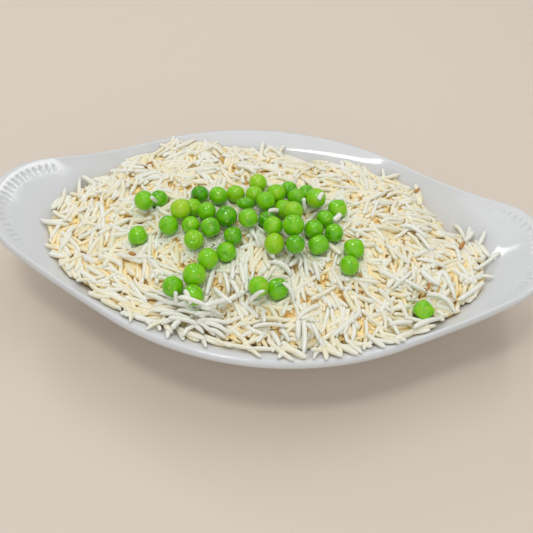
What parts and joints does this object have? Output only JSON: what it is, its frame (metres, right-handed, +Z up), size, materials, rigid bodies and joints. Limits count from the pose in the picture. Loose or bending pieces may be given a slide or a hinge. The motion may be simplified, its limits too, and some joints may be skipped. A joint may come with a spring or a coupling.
{
  "type": "plate of basmati rice with peas",
  "caption": "Oval eared porcelain dish heaped with cooked basmati rice and topped with green peas; a filled serving dish that rests on a table.",
  "frame": {"origin": "centre of the underside of the foot, on the surface that the dish stands on", "axes": "+X along the dish from ear to ear, +Y across it away from the side the picture was taken from, +Z up"},
  "size_m": [0.254, 0.144, 0.0609],
  "materials": {
    "porcelain": "gloss",
    "cooked_rice": "satin",
    "pea_skin": "satin",
    "cumin": "matte"
  },
  "bodies": {
    "root": {"dish": "porcelain", "rice": "cooked_rice", "pea_01": "pea_skin", "pea_02": "pea_skin", "pea_03": "pea_skin", "pea_04": "pea_skin", "pea_05": "pea_skin", "pea_06": "pea_skin", "pea_07": "pea_skin", "pea_08": "pea_skin", "pea_09": "pea_skin", "pea_10": "pea_skin", "pea_11": "pea_skin", "pea_12": "pea_skin", "pea_13": "pea_skin", "pea_14": "pea_skin", "pea_15": "pea_skin", "pea_16": "pea_skin", "pea_17": "pea_skin", "pea_18": "pea_skin", "pea_19": "pea_skin", "pea_20": "pea_skin", "pea_21": "pea_skin", "pea_22": "pea_skin", "pea_23": "pea_skin", "pea_24": "pea_skin", "pea_25": "pea_skin", "pea_26": "pea_skin", "pea_27": "pea_skin", "pea_28": "pea_skin", "pea_29": "pea_skin", "pea_30": "pea_skin", "pea_31": "pea_skin", "pea_32": "pea_skin", "pea_33": "pea_skin", "pea_34": "pea_skin", "pea_35": "pea_skin", "pea_36": "pea_skin", "pea_37": "pea_skin", "pea_38": "pea_skin", "pea_39": "pea_skin", "pea_40": "pea_skin", "pea_41": "pea_skin", "pea_42": "pea_skin", "pea_43": "pea_skin", "pea_44": "pea_skin", "pea_45": "pea_skin", "pea_46": "pea_skin", "pea_47": "pea_skin"}
  },
  "joints": []
}
